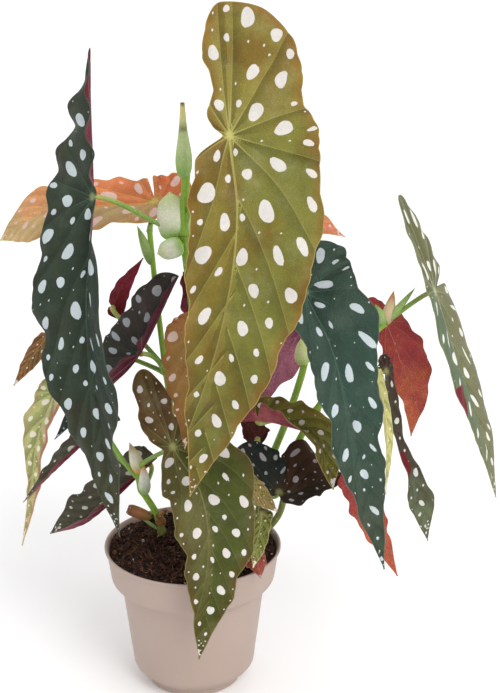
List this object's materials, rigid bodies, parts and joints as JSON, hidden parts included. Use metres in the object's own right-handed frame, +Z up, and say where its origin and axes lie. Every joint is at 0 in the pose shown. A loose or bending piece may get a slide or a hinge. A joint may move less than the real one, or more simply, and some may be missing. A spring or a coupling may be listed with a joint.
{
  "type": "potted polka dot begonia",
  "caption": "Potted begonia with angel-wing leaves, pale polka dots and wine-red undersides on green canes, in a plain taupe plastic pot.",
  "frame": {"origin": "centre of the pot's flat underside, on the surface that the pot stands on", "axes": "+Z up along the pot's axis, -Y towards the front of the plant, +X to its right as seen from the front"},
  "size_m": [0.337, 0.1889, 0.472],
  "materials": {
    "pot": "matte moulded plastic, taupe pink",
    "soil": "dark fibrous potting soil with pale perlite grains, matte",
    "cane": "smooth green living stem, slight sheen",
    "leaf_olive": "olive leaf with pale oval dots, satin, wine-red beneath",
    "leaf_dark": "dark green leaf with silver oval dots, satin, wine-red beneath",
    "leaf_orange": "orange young leaf with pale dots, satin",
    "leaf_wine": "wine-red underside outwards, satin",
    "leaf_lime": "lime green leaf with white dots, satin",
    "leaf_bronze": "bronze brown leaf with pale dots, satin",
    "leaf_mauve": "mauve underside, satin",
    "leaf_maroon": "dark maroon young leaf, satin"
  },
  "bodies": {
    "root": {"pot": "pot", "soil": "soil", "cane_main": "cane", "cane_left": "cane", "cane_right": "cane", "cane_far_right": "cane", "cane_young": "cane", "leaf_front_large": "leaf_olive", "leaf_left_large": "leaf_dark", "leaf_back_orange": "leaf_orange", "leaf_right_dark": "leaf_dark", "leaf_far_right": "leaf_olive", "leaf_right_red": "leaf_wine", "leaf_left_behind": "leaf_dark", "leaf_left_crimson": "leaf_maroon", "leaf_left_small": "leaf_bronze", "leaf_left_lime": "leaf_lime", "leaf_low_left": "leaf_dark", "leaf_low_left_far": "leaf_dark", "leaf_front_low": "leaf_olive", "leaf_mid_olive": "leaf_olive", "leaf_mid_folded": "leaf_olive", "leaf_soil_dark": "leaf_dark", "leaf_soil_bronze": "leaf_bronze", "leaf_right_red_low": "leaf_wine", "leaf_right_cream": "leaf_lime", "leaf_right_twisted": "leaf_dark", "leaf_mid_maroon": "leaf_maroon", "leaf_back_mauve": "leaf_mauve", "leaf_back_dark": "leaf_dark", "leaf_back_orange_right": "leaf_orange", "leaf_rim_crimson": "leaf_maroon", "leaf_rim_lime": "leaf_lime"}
  },
  "joints": []
}
